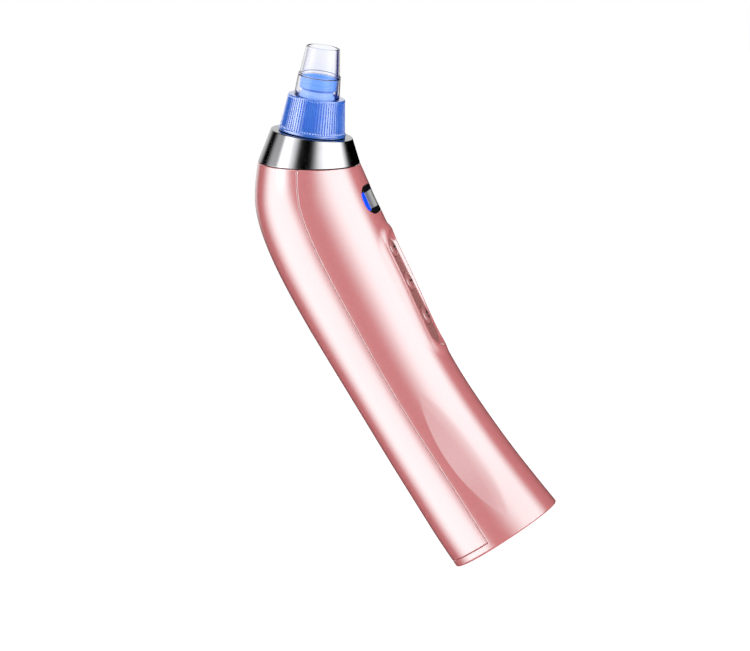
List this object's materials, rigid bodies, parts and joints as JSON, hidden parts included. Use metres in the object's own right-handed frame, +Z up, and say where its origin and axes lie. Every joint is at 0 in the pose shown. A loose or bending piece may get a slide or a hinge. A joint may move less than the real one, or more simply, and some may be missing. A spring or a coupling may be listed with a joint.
{
  "type": "pore vacuum",
  "caption": "Handheld suction pore cleaner: a bent round rose-coloured housing with push buttons and a small display, a chrome collar and a pull-off clear nozzle on a fluted blue base.",
  "frame": {"origin": "centre of the flat base face", "axes": "+Z up along the lower housing, +X towards the display and the buttons, XZ is the plane of symmetry"},
  "size_m": [0.0737, 0.046, 0.1988],
  "materials": {
    "clear_plastic": "clear, polished",
    "blue_plastic": "translucent blue, fluted",
    "grey_plastic": "satin",
    "black_rubber": "matt",
    "sponge": "open-cell foam",
    "chrome": "polished plating",
    "steel": "bright",
    "rose_housing": "pearlescent rose satin paint",
    "black_gloss": "gloss",
    "display_window": "tinted clear",
    "blue_light": "lit light guide",
    "lcd": "grey display",
    "white_plastic": "moulded",
    "rose_inlay": "darker rose satin",
    "rose_button": "pearlescent rose",
    "switch_plunger": "moulded",
    "black_plastic": "moulded",
    "circuit_board": "solder mask",
    "battery_wrap": "shrink-wrapped cell",
    "nickel": "plated strip",
    "lead_red": "insulated wire",
    "lead_black": "insulated wire",
    "ferrite": "matt",
    "copper_iron": "wound",
    "copper": "bright",
    "carbon": "graphite",
    "silicone": "translucent white"
  },
  "bodies": {
    "housing": {"nozzle_port": "grey_plastic", "nozzle_o_ring": "black_rubber", "filter_sponge": "sponge", "chrome_collar": "chrome", "nozzle_screws": "steel", "front_housing": "rose_housing", "rear_cover": "rose_housing", "base_plate": "rose_housing", "case_screws": "steel", "display_bezel": "black_gloss", "display_glass": "display_window", "display_light_guides": "blue_light", "lcd_module": "lcd", "display_holder": "white_plastic", "button_panel": "rose_inlay", "switch_bodies": "black_plastic", "main_pcb": "circuit_board", "pcb_components": "black_plastic", "battery_cell": "battery_wrap", "battery_cradle": "white_plastic", "battery_foam_pad": "sponge", "battery_tabs": "nickel", "charging_socket": "steel", "charging_board": "circuit_board", "battery_leads": "lead_red", "charge_leads": "lead_black", "motor_leads": "lead_red", "motor_can": "steel", "motor_end_cap": "black_plastic", "motor_magnets": "ferrite", "motor_brushes": "carbon", "pump_body": "white_plastic", "rocker": "white_plastic", "cup_seat": "white_plastic", "diaphragm": "black_rubber", "valve_plate": "black_plastic", "pump_cover": "black_plastic", "pump_screws": "steel", "pump_damper_ring": "black_rubber", "pump_strap": "white_plastic", "air_hose": "silicone"},
    "probe": {"suction_tip": "clear_plastic", "probe_base": "blue_plastic"},
    "level_up": {"level_up_button": "rose_button", "level_up_plunger": "switch_plunger"},
    "level_down": {"level_down_button": "rose_button", "level_down_plunger": "switch_plunger"},
    "power": {"power_button": "rose_button", "power_plunger": "switch_plunger"},
    "rotor": {"motor_shaft": "steel", "motor_armature": "copper_iron", "motor_commutator": "copper", "eccentric_wheel": "white_plastic", "drive_pin": "steel"}
  },
  "joints": [
    {"name": "probe_pull", "type": "slide", "parent": "housing", "child": "probe", "axis": [0.673, 0, 0.7396], "range_m": [0, 0.02]},
    {"name": "level_up_press", "type": "slide", "parent": "housing", "child": "level_up", "axis": [-0.9914, 0, 0.1305], "range_m": [0, 0.0004], "stiffness_N_per_m": 3000},
    {"name": "level_down_press", "type": "slide", "parent": "housing", "child": "level_down", "axis": [-0.9914, 0, 0.1305], "range_m": [0, 0.0004], "stiffness_N_per_m": 3000},
    {"name": "power_press", "type": "slide", "parent": "housing", "child": "power", "axis": [-0.9914, 0, 0.1305], "range_m": [0, 0.0004], "stiffness_N_per_m": 3000},
    {"name": "rotor_spin", "type": "hinge", "parent": "housing", "child": "rotor", "pos_m": [-0.006, 0, 0.066], "axis": [0.0802, 0, 0.9968], "continuous": true}
  ]
}
